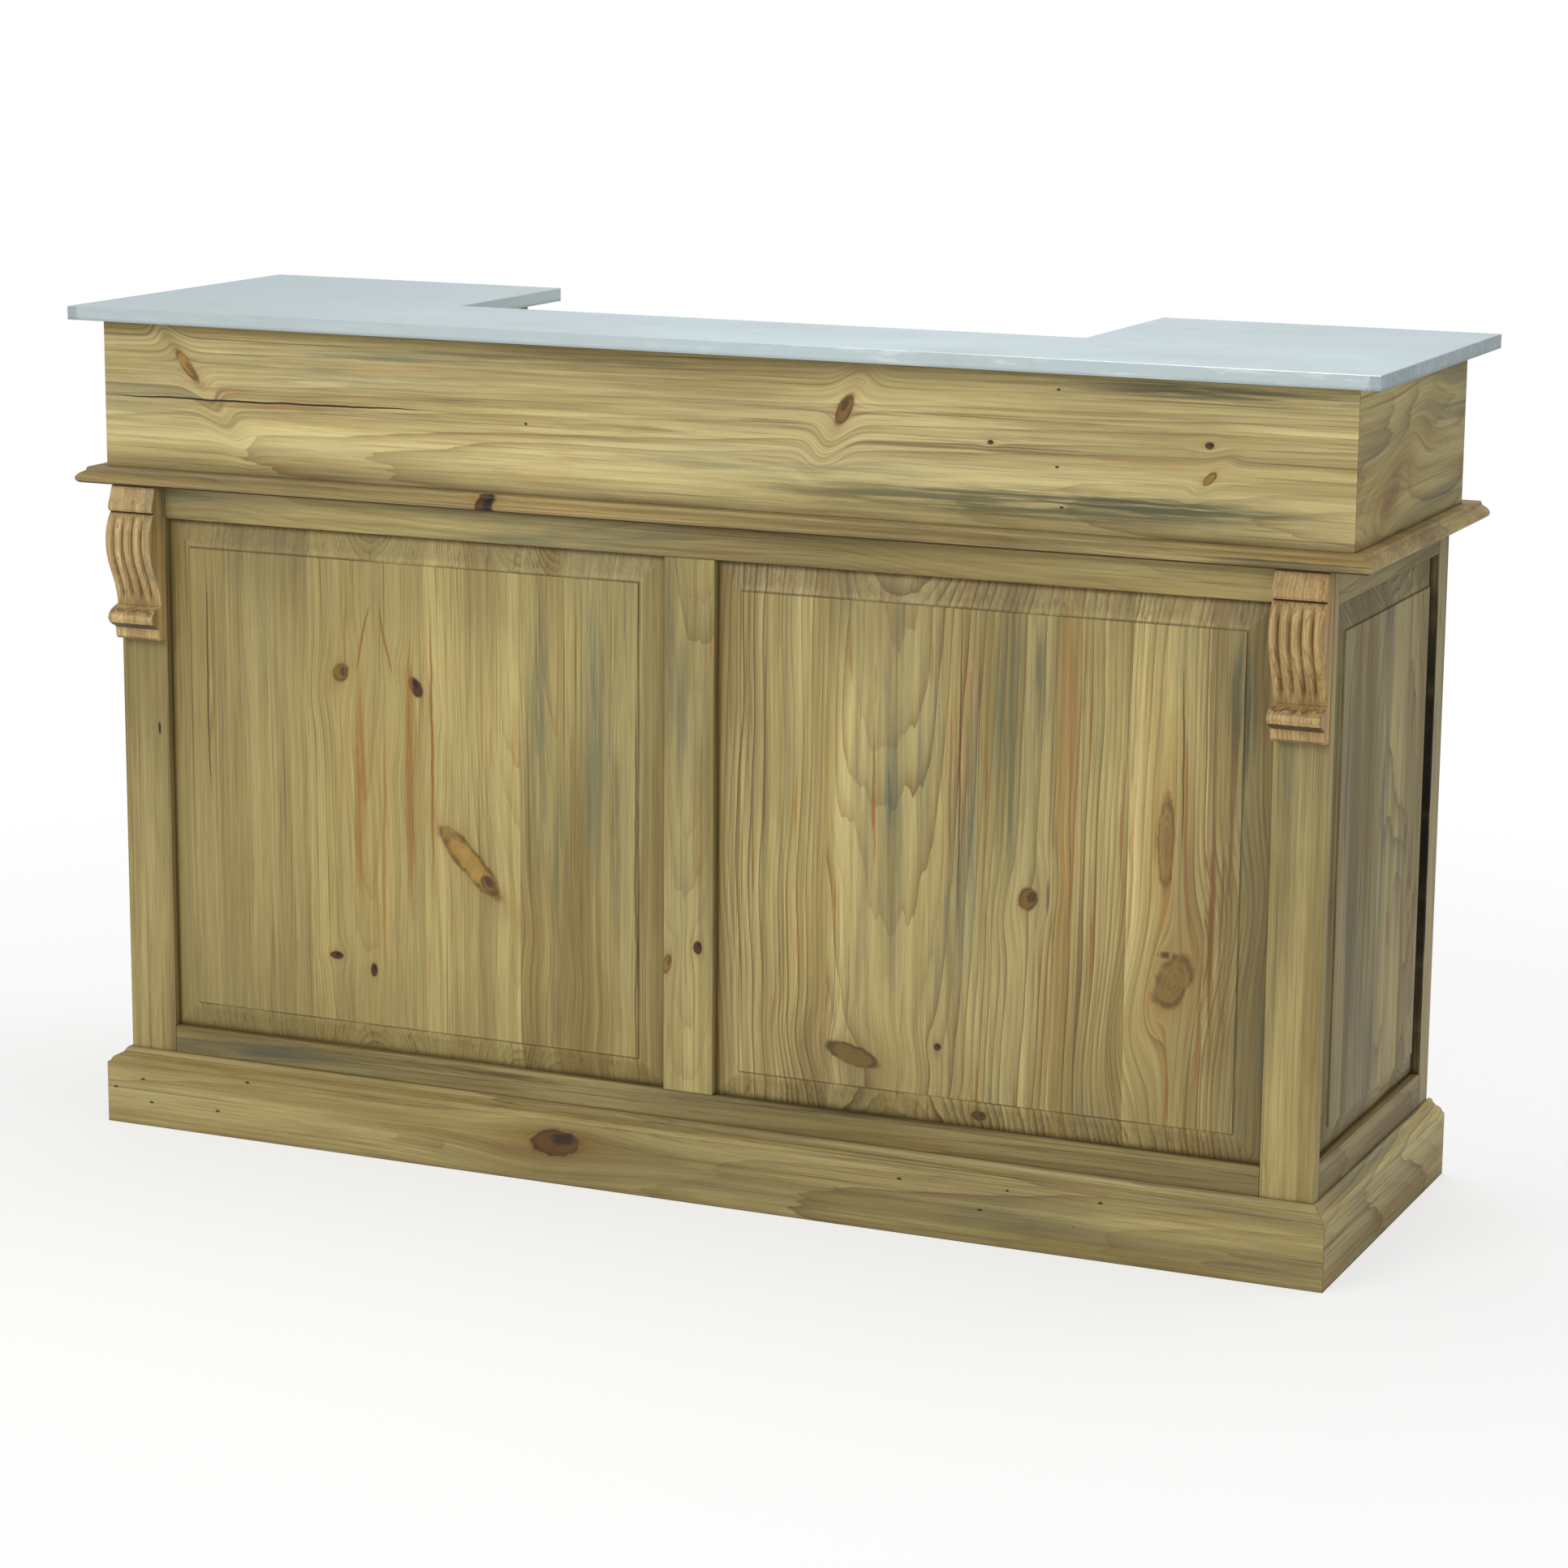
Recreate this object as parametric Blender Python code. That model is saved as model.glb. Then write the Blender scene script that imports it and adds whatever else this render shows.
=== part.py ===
"""Bar counter in waxed pine with a folded zinc top, modelled in metres, +Z up.

The front faces -Y.  Sizes are worked from the plinth front plane, and every piece is
then shifted so that the middle of the whole depth lies on Y = 0.
"""
import math

import bpy
import bmesh

# Driving dimensions, metres
GAP = 0.0003
HEIGHT = 1.120
TOP_HALF = 0.900
TOP_DEPTH = 0.550
WING_W = 0.455
STRIP = 0.250
RISER_H = 0.215
LIP = 0.018
SHEET = 0.001
RISER_OVERHANG = 0.034
RISER_T = 0.020
INNER_T = 0.018
WAIST_T = 0.022
WAIST_SIDE_IN = 0.004
WAIST_REAR_IN = 0.005
BODY_SIDE_IN = 0.055
BODY_FRONT = 0.029
BODY_REAR_IN = 0.0095
FRAME_T = 0.018
STILE_W = 0.070
MUNTIN_W = 0.070
TOP_RAIL_W = 0.043
BOTTOM_RAIL_W = 0.109
SIDE_BOTTOM_RAIL_W = 0.117
SIDE_STILE_W = 0.0435
RAIL_UNDERSIDE = 0.030
PANEL_LIP = 0.009
PANEL_MARGIN = 0.010
PANEL_BEVEL = 0.037
PANEL_QUIRK = 0.002
PANEL_RISE = 0.006
QUIRK_SLOPE = 0.0008
FIELD_BELOW_FACE = 0.001
PLINTH_STEP = 0.023
PLINTH_FLAT = 0.084
PLINTH_TOP = 0.102
PLINTH_REAR_IN = 0.002
BOARD_T = 0.018
FLOOR_BOARD_Z = 0.100
SHELF_Z = 0.480
PARTITION_IN = 0.009
REAR_STILE_W = 0.052
DOOR_T = 0.020
DOOR_CLEAR = 0.0015
DOOR_STILE_W = 0.045
HINGE_R = 0.004
HINGE_FROM_END = 0.110
LEAF_T = 0.0015
LEAF_W = 0.029
KNUCKLE = 0.030
KNOB_R = 0.014
KNOB_PROJECTION = 0.026
DRAWER_CLEAR = 0.002
DRAWER_SIDE = 0.012
DRAWER_SIDE_IN = 0.004
DRAWER_HEADROOM = 0.035
DRAWER_BACK_Y = 0.150
DRAWER_BOTTOM = 0.008
CORBEL_LENGTH = 0.207
CORBEL_SIDE_IN = 0.001
CORBEL_ARRIS = 0.0012
CORBEL_GROOVE = 0.0042

# Corbel outline from its top down: share of the length, projection from the stile
CORBEL_PROFILE = [
    (0.000, 0.020), (0.075, 0.026), (0.110, 0.030), (0.140, 0.031), (0.158, 0.029),
    (0.166, 0.024), (0.176, 0.026), (0.215, 0.032), (0.280, 0.037), (0.345, 0.0385),
    (0.410, 0.038), (0.480, 0.034), (0.555, 0.027), (0.625, 0.020), (0.695, 0.015),
    (0.762, 0.012), (0.776, 0.012), (0.784, 0.018), (0.806, 0.029), (0.830, 0.035),
    (0.856, 0.037), (0.884, 0.034), (0.905, 0.027), (0.917, 0.021), (0.926, 0.019),
    (0.985, 0.0175), (1.000, 0.015),
]
# The four gouged flutes, as shares of the corbel's width and length
FLUTES = [0.16, 0.37, 0.58, 0.79]
FLUTE_HALF = 0.055
FLUTE_TOP = 0.176
FLUTE_BOTTOM = 0.692
FLUTE_FADE = 0.060

# Worktop nose: inset from the outer edge, share of the board's thickness
NOSE_PROFILE = [
    (0.0120, 0.00), (0.0045, 0.06), (0.0012, 0.17), (0.0000, 0.31), (0.0008, 0.45),
    (0.0036, 0.60), (0.0075, 0.71), (0.0110, 0.78), (0.0118, 0.93), (0.0130, 1.00),
]
# Plinth moulding above its flat face: share of the thickness, share of the moulding height
OGEE_PROFILE = [
    (0.05, 0.03), (0.13, 0.09), (0.17, 0.22), (0.26, 0.38), (0.42, 0.47),
    (0.58, 0.55), (0.70, 0.72), (0.77, 0.90), (0.86, 1.00),
]

# Worked out from the driving dimensions
NOTCH_HALF = TOP_HALF - WING_W
WAIST_TOP = HEIGHT - RISER_H
WAIST_HALF = TOP_HALF - WAIST_SIDE_IN
WAIST_DEPTH = TOP_DEPTH - WAIST_REAR_IN
BODY_HALF = TOP_HALF - BODY_SIDE_IN
BODY_REAR = TOP_DEPTH - BODY_REAR_IN
PLINTH_HALF = BODY_HALF + PLINTH_STEP
PLINTH_REAR = TOP_DEPTH - PLINTH_REAR_IN
BOTTOM_RAIL_TOP = RAIL_UNDERSIDE + BOTTOM_RAIL_W
SIDE_BOTTOM_RAIL_TOP = RAIL_UNDERSIDE + SIDE_BOTTOM_RAIL_W
WAIST_UNDER = WAIST_TOP - WAIST_T
FRAME_TOP = WAIST_UNDER - GAP
FRAME_BACK = BODY_FRONT + FRAME_T
OPEN_HALF = BODY_HALF - STILE_W
TOP_RAIL_Z = WAIST_UNDER - TOP_RAIL_W
PANEL_BACK = FRAME_BACK + GAP + PANEL_LIP
SIDE_IN = BODY_HALF - FRAME_T
SIDE_PANEL_IN = SIDE_IN - GAP - PANEL_LIP
SIDE_STILE_Y = BODY_REAR - SIDE_STILE_W
DOOR_FRONT = BODY_REAR - DOOR_T
REAR_STILE_IN = SIDE_IN - GAP - REAR_STILE_W
RISER_HALF = TOP_HALF - RISER_OVERHANG
RISER_REAR = TOP_DEPTH - RISER_OVERHANG
RISER_INNER = NOTCH_HALF + RISER_OVERHANG
PARTITION_X = RISER_INNER - PARTITION_IN
CORE_UNDER = HEIGHT - LIP
RISER_TOP = CORE_UNDER - GAP
RISER_FOOT = WAIST_TOP + GAP
FRONT_Y = BODY_FRONT - GAP - max(p for s, p in CORBEL_PROFILE)
REAR_Y = BODY_REAR + GAP + KNOB_PROJECTION
SHIFT_Y = (FRONT_Y + REAR_Y) / 2


def clear_scene():
    for ob in list(bpy.data.objects):
        bpy.data.objects.remove(ob, do_unlink=True)


def material(name, color, roughness, metallic=0.0):
    mat = bpy.data.materials.new(name)
    mat.use_nodes = True
    bsdf = mat.node_tree.nodes["Principled BSDF"]
    bsdf.inputs["Base Color"].default_value = (*color, 1.0)
    bsdf.inputs["Roughness"].default_value = roughness
    bsdf.inputs["Metallic"].default_value = metallic
    mat.diffuse_color = (*color, 1.0)
    return mat


def solid_from(bm, rings, closed=False):
    """Skin equal rings of points in order and cap both ends."""
    made = [[bm.verts.new(p) for p in ring] for ring in rings]
    count = len(made[0])
    pairs = list(zip(made, made[1:]))
    if closed:
        pairs.append((made[-1], made[0]))
    for a, b in pairs:
        for i in range(count):
            j = (i + 1) % count
            bm.faces.new((a[i], a[j], b[j], b[i]))
    if not closed:
        bm.faces.new(list(reversed(made[0])))
        bm.faces.new(made[-1])


def place(name, rings, mat, origin, smooth=False, ease=0.0, closed=False):
    """Make one object from rings of world points, with its origin at the given point."""
    bm = bmesh.new()
    moved = [[(x - origin[0], y - origin[1], z - origin[2]) for x, y, z in ring] for ring in rings]
    solid_from(bm, moved, closed)
    bmesh.ops.recalc_face_normals(bm, faces=bm.faces)
    mesh = bpy.data.meshes.new(name)
    bm.to_mesh(mesh)
    bm.free()
    if smooth:
        mesh.shade_smooth()
        mesh.set_sharp_from_angle(angle=math.radians(35))
    ob = bpy.data.objects.new(name, mesh)
    ob.data.materials.append(mat)
    ob.location = (origin[0], origin[1] - SHIFT_Y, origin[2])
    bpy.context.scene.collection.objects.link(ob)
    if ease:
        bevel = ob.modifiers.new("eased_edges", "BEVEL")
        bevel.width = ease
        bevel.segments = 1
        bevel.limit_method = "ANGLE"
    return ob


def level_ring(x0, x1, y0, y1, z):
    return [(x0, y0, z), (x1, y0, z), (x1, y1, z), (x0, y1, z)]


def box(x0, x1, y0, y1, z0, z1):
    return [level_ring(x0, x1, y0, y1, z0), level_ring(x0, x1, y0, y1, z1)]


def board(name, mat, x0, x1, y0, y1, z0, z1, ease=0.001):
    """A squared board with softened arrises, its origin at its own centre."""
    origin = ((x0 + x1) / 2, (y0 + y1) / 2, (z0 + z1) / 2)
    return place(name, box(x0, x1, y0, y1, z0, z1), mat, origin, ease=ease)


def panel_rings(u0, u1, v0, v1, margins, lip, face, bevel, quirk):
    """Raised and fielded panel in its own plane: u across, v up, w out of the back."""
    mu0, mu1, mv0, mv1 = margins
    shoulder = face - quirk
    steps = [
        (0.0, 0.0, 0.0),
        (0.0, 0.0, lip),
        (1.0, GAP, lip),
        (1.0, GAP, lip + PANEL_RISE),
        (1.0, bevel, shoulder),
        (1.0, bevel + QUIRK_SLOPE, face),
    ]
    rings = []
    for share, inset, w in steps:
        a0 = u0 + share * mu0 + inset
        a1 = u1 - share * mu1 - inset
        b0 = v0 + share * mv0 + inset
        b1 = v1 - share * mv1 - inset
        rings.append([(a0, b0, w), (a1, b0, w), (a1, b1, w), (a0, b1, w)])
    return rings


def u_outline(inset, z):
    """Outline of the counter top with its work notch at the rear."""
    w = TOP_HALF - inset
    n = NOTCH_HALF + inset
    rear = TOP_DEPTH - inset
    return [
        (-w, inset, z), (w, inset, z), (w, rear, z), (n, rear, z),
        (n, STRIP - inset, z), (-n, STRIP - inset, z), (-n, rear, z), (-w, rear, z),
    ]


def mitred_front(profile, half, face, front_t, side_t):
    """A run along X whose ends are cut along the mitre line."""
    rings = []
    for side in (-1, 1):
        rings.append([(side * (half - f * side_t - GAP), face + f * front_t, z) for f, z in profile])
    return rings


def mitred_side(profile, side, half, face, rear, front_t, side_t):
    """A run along Y, mitred at the front and square at the rear."""
    start = [(side * (half - f * side_t), face + f * front_t + GAP, z) for f, z in profile]
    end = [(x, rear, z) for x, y, z in start]
    return [start, end]


def lathe(profile, centre_x, base_y, centre_z, count=20):
    """Turned knob on a Y axis: rings of (radius, distance out)."""
    rings = []
    for radius, out in profile:
        ring = []
        for i in range(count):
            a = 2 * math.pi * i / count
            ring.append((centre_x + radius * math.cos(a), base_y + out, centre_z + radius * math.sin(a)))
        rings.append(ring)
    return rings


def upright(x0, x1, z0, z1):
    """A rectangle standing across Y, given its Y when called."""
    return lambda y: [(x0, y, z0), (x1, y, z0), (x1, y, z1), (x0, y, z1)]


def leaf_rings(axis_x, axis_y, z0, z1, toward):
    """A hinge leaf whose plate runs toward -1 or +1 in X, with its knuckle in one piece."""
    outline = [(toward * LEAF_W, -HINGE_R), (0.0, -HINGE_R)]
    lift = LEAF_T - HINGE_R
    meet = math.asin(-lift / HINGE_R)
    sweep = 1.5 * math.pi - meet
    steps = 14
    for i in range(1, steps + 1):
        a = -math.pi / 2 + (sweep * i / steps if i < steps else sweep)
        outline.append((-toward * HINGE_R * math.cos(a), HINGE_R * math.sin(a)))
    outline.append((toward * LEAF_W, lift))
    return [[(axis_x + x, axis_y + y, z) for x, y in outline] for z in (z0, z1)]


def smoothstep(t):
    t = max(0.0, min(1.0, t))
    return t * t * (3 - 2 * t)


def flute_depth(share, down):
    """How deep the gouged flutes are at a share of the width and of the length."""
    run_in = smoothstep((down - FLUTE_TOP) / FLUTE_FADE)
    run_out = 1 - smoothstep((down - FLUTE_BOTTOM) / FLUTE_FADE)
    depth = sum(max(0.0, 1 - abs(share - centre) / FLUTE_HALF) for centre in FLUTES)
    return CORBEL_GROOVE * depth * run_in * run_out


def corbel(name, mat, centre_x):
    """Carved bracket: cap, fluted and swelling body, roll and foot block."""
    shares = [0.0, 0.02]
    for centre in FLUTES:
        shares += [centre + k * FLUTE_HALF for k in (-1.0, -0.4, 0.0, 0.4, 1.0)]
    shares += [0.98, 1.0]
    wide = STILE_W - 2 * CORBEL_SIDE_IN
    face_y = BODY_FRONT - GAP
    rings = []
    for share in shares:
        x = centre_x + (share - 0.5) * wide
        arris = CORBEL_ARRIS if share in (0.0, 1.0) else 0.0
        ring = [(x, face_y, FRAME_TOP)]
        for down, out in CORBEL_PROFILE:
            y = face_y - out + arris + flute_depth(share, down)
            ring.append((x, y, FRAME_TOP - down * CORBEL_LENGTH))
        ring.append((x, face_y, FRAME_TOP - CORBEL_LENGTH))
        rings.append(ring)
    return place(name, rings, mat, (centre_x, face_y, FRAME_TOP), smooth=True)


clear_scene()

PINE = material("waxed_pine", (0.42, 0.29, 0.12), 0.5)
PINE_MOULD = material("pine_mouldings", (0.45, 0.32, 0.14), 0.48)
PINE_INSIDE = material("pine_inside", (0.50, 0.36, 0.18), 0.62)
CARVED = material("carved_pine", (0.44, 0.26, 0.13), 0.5)
ZINC = material("zinc_sheet", (0.56, 0.64, 0.67), 0.34, 1.0)
IRON = material("blackened_steel", (0.07, 0.065, 0.06), 0.5, 1.0)

# Counter top: one folded sheet over core boards
sheet_rings = [
    u_outline(SHEET, HEIGHT - SHEET),
    u_outline(SHEET, CORE_UNDER),
    u_outline(0.0, CORE_UNDER),
    u_outline(0.0, HEIGHT - 0.0008),
    u_outline(0.0008, HEIGHT),
]
place("zinc_top", sheet_rings, ZINC, (0.0, TOP_DEPTH / 2, HEIGHT))
CORE_IN = SHEET + GAP
CORE_TOP = HEIGHT - SHEET - GAP
board("top_board_front", PINE_INSIDE, -TOP_HALF + CORE_IN, TOP_HALF - CORE_IN,
      CORE_IN, STRIP - CORE_IN, CORE_UNDER, CORE_TOP, ease=0.0)

PLAIN = [(0.0, RISER_FOOT), (0.0, RISER_TOP), (1.0, RISER_TOP), (1.0, RISER_FOOT)]
MOULDING_H = PLINTH_TOP - PLINTH_FLAT
SKIRTING = [(0.0, 0.0), (0.0, PLINTH_FLAT)]
SKIRTING += [(f, PLINTH_FLAT + s * MOULDING_H) for f, s in OGEE_PROFILE]
SKIRTING += [(1.0, PLINTH_TOP), (1.0, 0.0)]
SKIRT_FRONT_T = BODY_FRONT - GAP
SKIRT_SIDE_T = PLINTH_HALF - BODY_HALF - GAP

# Front faces
place("frieze_front", mitred_front(PLAIN, RISER_HALF, RISER_OVERHANG, RISER_T, RISER_T),
      PINE, (0.0, RISER_OVERHANG, RISER_FOOT))
board("frieze_back", PINE_INSIDE, -RISER_INNER + GAP, RISER_INNER - GAP,
      STRIP - RISER_OVERHANG - INNER_T, STRIP - RISER_OVERHANG, RISER_FOOT, RISER_TOP)
place("plinth_front", mitred_front(SKIRTING, PLINTH_HALF, 0.0, SKIRT_FRONT_T, SKIRT_SIDE_T),
      PINE_MOULD, (0.0, 0.0, 0.0), smooth=True)
board("front_top_rail", PINE, -OPEN_HALF + GAP, OPEN_HALF - GAP,
      BODY_FRONT, FRAME_BACK, TOP_RAIL_Z, FRAME_TOP)
board("front_bottom_rail", PINE, -OPEN_HALF + GAP, OPEN_HALF - GAP,
      BODY_FRONT, FRAME_BACK, RAIL_UNDERSIDE, BOTTOM_RAIL_TOP)
board("front_muntin", PINE, -MUNTIN_W / 2, MUNTIN_W / 2,
      BODY_FRONT, FRAME_BACK, BOTTOM_RAIL_TOP + GAP, TOP_RAIL_Z - GAP)

# Worktop board with its moulded nose on the front and both sides
nose = []
for inset, share in NOSE_PROFILE:
    w = WAIST_HALF - inset
    z = WAIST_UNDER + share * WAIST_T
    nose.append([(-w, inset, z), (w, inset, z), (w, WAIST_DEPTH, z), (-w, WAIST_DEPTH, z)])
place("waist_board", nose, PINE_MOULD, (0.0, WAIST_DEPTH / 2, WAIST_TOP), smooth=True)

# Floor board and rear rails
board("bottom_board", PINE_INSIDE, -SIDE_IN + GAP, SIDE_IN - GAP,
      FRAME_BACK + GAP, BODY_REAR - FRAME_T - GAP, FLOOR_BOARD_Z, FLOOR_BOARD_Z + BOARD_T)
board("rear_top_rail", PINE_INSIDE, -REAR_STILE_IN + GAP, REAR_STILE_IN - GAP,
      BODY_REAR - FRAME_T, BODY_REAR, TOP_RAIL_Z, FRAME_TOP)
board("rear_bottom_rail", PINE_INSIDE, -REAR_STILE_IN + GAP, REAR_STILE_IN - GAP,
      BODY_REAR - FRAME_T, BODY_REAR, 0.0, FLOOR_BOARD_Z + BOARD_T)

DOOR_Z0 = FLOOR_BOARD_Z + BOARD_T + DOOR_CLEAR
DOOR_Z1 = TOP_RAIL_Z - DOOR_CLEAR
DOOR_FREE = PARTITION_X + BOARD_T / 2
DOOR_HUNG = REAR_STILE_IN - DOOR_CLEAR
HINGE_Y = BODY_REAR + GAP + HINGE_R
DRAWER_IN = RISER_INNER + INNER_T + DRAWER_CLEAR
DRAWER_OUT = RISER_HALF - RISER_T - DRAWER_CLEAR
DRAWER_FACE_Y = RISER_REAR - INNER_T
KNOB_PROFILE = [(0.45, 0.0), (0.42, 0.30), (0.60, 0.48), (0.95, 0.66), (1.0, 0.80), (0.85, 0.93), (0.45, 1.0)]
KNOB_RINGS = [(r * KNOB_R, s * KNOB_PROJECTION) for r, s in KNOB_PROFILE]

for side, hand in ((-1, "left"), (1, "right")):
    def span(near, far):
        """The pair of X values for a piece from near to far of the middle, low first."""
        return sorted((side * near, side * far))

    # Riser and top
    x0, x1 = span(NOTCH_HALF + CORE_IN, TOP_HALF - CORE_IN)
    board("top_board_" + hand, PINE_INSIDE, x0, x1, STRIP - SHEET, TOP_DEPTH - CORE_IN,
          CORE_UNDER, CORE_TOP, ease=0.0)
    rings = mitred_side(PLAIN, side, RISER_HALF, RISER_OVERHANG, RISER_REAR, RISER_T, RISER_T)
    place("frieze_side_" + hand, rings, PINE, (side * RISER_HALF, RISER_OVERHANG, RISER_FOOT))
    x0, x1 = span(RISER_INNER, RISER_INNER + INNER_T)
    board("frieze_inner_" + hand, PINE_INSIDE, x0, x1, STRIP - RISER_OVERHANG - INNER_T,
          RISER_REAR, RISER_FOOT, RISER_TOP)

    # Front stile, fielded front panel and corbel
    x0, x1 = span(OPEN_HALF, BODY_HALF)
    board("front_stile_" + hand, PINE, x0, x1, BODY_FRONT, FRAME_BACK, 0.0, FRAME_TOP)
    x0, x1 = span(MUNTIN_W / 2 - PANEL_MARGIN, OPEN_HALF + PANEL_MARGIN)
    flat = panel_rings(x0, x1, BOTTOM_RAIL_TOP - PANEL_MARGIN, TOP_RAIL_Z + PANEL_MARGIN,
                       (PANEL_MARGIN,) * 4, PANEL_LIP, PANEL_BACK - BODY_FRONT - FIELD_BELOW_FACE,
                       PANEL_BEVEL, PANEL_QUIRK)
    rings = [[(u, PANEL_BACK - w, v) for u, v, w in ring] for ring in flat]
    place("front_panel_" + hand, rings, PINE, ((x0 + x1) / 2, PANEL_BACK, SHELF_Z))
    corbel("corbel_" + hand, CARVED, side * (OPEN_HALF + STILE_W / 2))

    # Framed side
    x0, x1 = span(SIDE_IN, BODY_HALF)
    board("side_top_rail_" + hand, PINE, x0, x1, FRAME_BACK + GAP, SIDE_STILE_Y - GAP,
          TOP_RAIL_Z, FRAME_TOP)
    board("side_bottom_rail_" + hand, PINE, x0, x1, FRAME_BACK + GAP, SIDE_STILE_Y - GAP,
          RAIL_UNDERSIDE, SIDE_BOTTOM_RAIL_TOP)
    board("side_rear_stile_" + hand, PINE, x0, x1, SIDE_STILE_Y, BODY_REAR, 0.0, FRAME_TOP)
    flat = panel_rings(FRAME_BACK + GAP, SIDE_STILE_Y + PANEL_MARGIN,
                       SIDE_BOTTOM_RAIL_TOP - PANEL_MARGIN, TOP_RAIL_Z + PANEL_MARGIN,
                       (0.0, PANEL_MARGIN, PANEL_MARGIN, PANEL_MARGIN), PANEL_LIP,
                       BODY_HALF - SIDE_PANEL_IN - FIELD_BELOW_FACE, PANEL_BEVEL, PANEL_QUIRK)
    rings = [[(side * (SIDE_PANEL_IN + w), u, v) for u, v, w in ring] for ring in flat]
    place("side_panel_" + hand, rings, PINE, (side * SIDE_PANEL_IN, BODY_REAR / 2, SHELF_Z))
    rings = mitred_side(SKIRTING, side, PLINTH_HALF, 0.0, PLINTH_REAR, SKIRT_FRONT_T, SKIRT_SIDE_T)
    place("plinth_side_" + hand, rings, PINE_MOULD, (side * PLINTH_HALF, 0.0, 0.0), smooth=True)

    # Inside
    x0, x1 = span(PARTITION_X, PARTITION_X + BOARD_T)
    board("partition_" + hand, PINE_INSIDE, x0, x1, PANEL_BACK + GAP, DOOR_FRONT - GAP,
          FLOOR_BOARD_Z + BOARD_T + GAP, FRAME_TOP)
    x0, x1 = span(PARTITION_X + BOARD_T + GAP, SIDE_PANEL_IN - GAP)
    board("cupboard_shelf_" + hand, PINE_INSIDE, x0, x1, PANEL_BACK + GAP, SIDE_STILE_Y,
          SHELF_Z, SHELF_Z + BOARD_T)
    x0, x1 = span(REAR_STILE_IN, SIDE_IN - GAP)
    board("rear_stile_" + hand, PINE_INSIDE, x0, x1, BODY_REAR - FRAME_T, BODY_REAR, 0.0, FRAME_TOP)

    # Door, hung on the outer rear stile; every door piece has its origin on the hinge axis
    axis = (side * REAR_STILE_IN, HINGE_Y, (DOOR_Z0 + DOOR_Z1) / 2)
    a0, a1 = span(DOOR_FREE, DOOR_HUNG)
    w = DOOR_STILE_W
    outer = upright(a0, a1, DOOR_Z0, DOOR_Z1)
    inner = upright(a0 + w, a1 - w, DOOR_Z0 + w, DOOR_Z1 - w)
    frame = [outer(DOOR_FRONT), outer(BODY_REAR), inner(BODY_REAR), inner(DOOR_FRONT)]
    place("door_frame_" + hand, frame, PINE, axis, closed=True)
    d0, d1 = span(DOOR_FREE + DOOR_STILE_W - PANEL_MARGIN, DOOR_HUNG - DOOR_STILE_W + PANEL_MARGIN)
    door_back = DOOR_FRONT - GAP - PANEL_LIP
    flat = panel_rings(d0, d1, DOOR_Z0 + DOOR_STILE_W - PANEL_MARGIN,
                       DOOR_Z1 - DOOR_STILE_W + PANEL_MARGIN, (PANEL_MARGIN,) * 4, PANEL_LIP,
                       BODY_REAR - door_back - FIELD_BELOW_FACE, PANEL_BEVEL, PANEL_QUIRK)
    rings = [[(u, door_back + w, v) for u, v, w in ring] for ring in flat]
    place("door_panel_" + hand, rings, PINE, axis)
    knob_x = side * (DOOR_FREE + DOOR_STILE_W / 2)
    knob = lathe(KNOB_RINGS, knob_x, BODY_REAR + GAP, SHELF_Z + BOARD_T)
    place("door_knob_" + hand, knob, IRON, axis, smooth=True)
    for level, centre in (("lower", DOOR_Z0 + HINGE_FROM_END), ("upper", DOOR_Z1 - HINGE_FROM_END)):
        leaf = leaf_rings(axis[0], axis[1], centre + GAP, centre + KNUCKLE, -side)
        place("door_leaf_" + level + "_" + hand, leaf, IRON, axis)
        leaf = leaf_rings(axis[0], axis[1], centre - KNUCKLE, centre, side)
        place("case_leaf_" + level + "_" + hand, leaf, IRON, axis)

    # Drawer in the riser, opening to the rear and running on the worktop board
    origin = (side * (DRAWER_IN + DRAWER_OUT) / 2, RISER_REAR, WAIST_TOP)
    z0 = WAIST_TOP + DRAWER_CLEAR
    x0, x1 = span(DRAWER_IN, DRAWER_OUT)
    place("drawer_front_" + hand, box(x0, x1, DRAWER_FACE_Y, RISER_REAR, z0, RISER_TOP - DRAWER_CLEAR),
          PINE, origin, ease=0.001)
    run = DRAWER_FACE_Y - GAP
    low = WAIST_TOP + GAP
    high = RISER_TOP - DRAWER_HEADROOM
    s0, s1 = x0 + DRAWER_SIDE_IN, x1 - DRAWER_SIDE_IN
    t = DRAWER_SIDE
    tray = [
        level_ring(s0, s1, DRAWER_BACK_Y, run, low),
        level_ring(s0, s1, DRAWER_BACK_Y, run, high),
        level_ring(s0 + t, s1 - t, DRAWER_BACK_Y + t, run - t, high),
        level_ring(s0 + t, s1 - t, DRAWER_BACK_Y + t, run - t, low + DRAWER_BOTTOM),
    ]
    place("drawer_box_" + hand, tray, PINE_INSIDE, origin)
    knob = lathe(KNOB_RINGS, origin[0], RISER_REAR + GAP, (WAIST_TOP + RISER_TOP) / 2)
    place("drawer_knob_" + hand, knob, IRON, origin, smooth=True)
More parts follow.
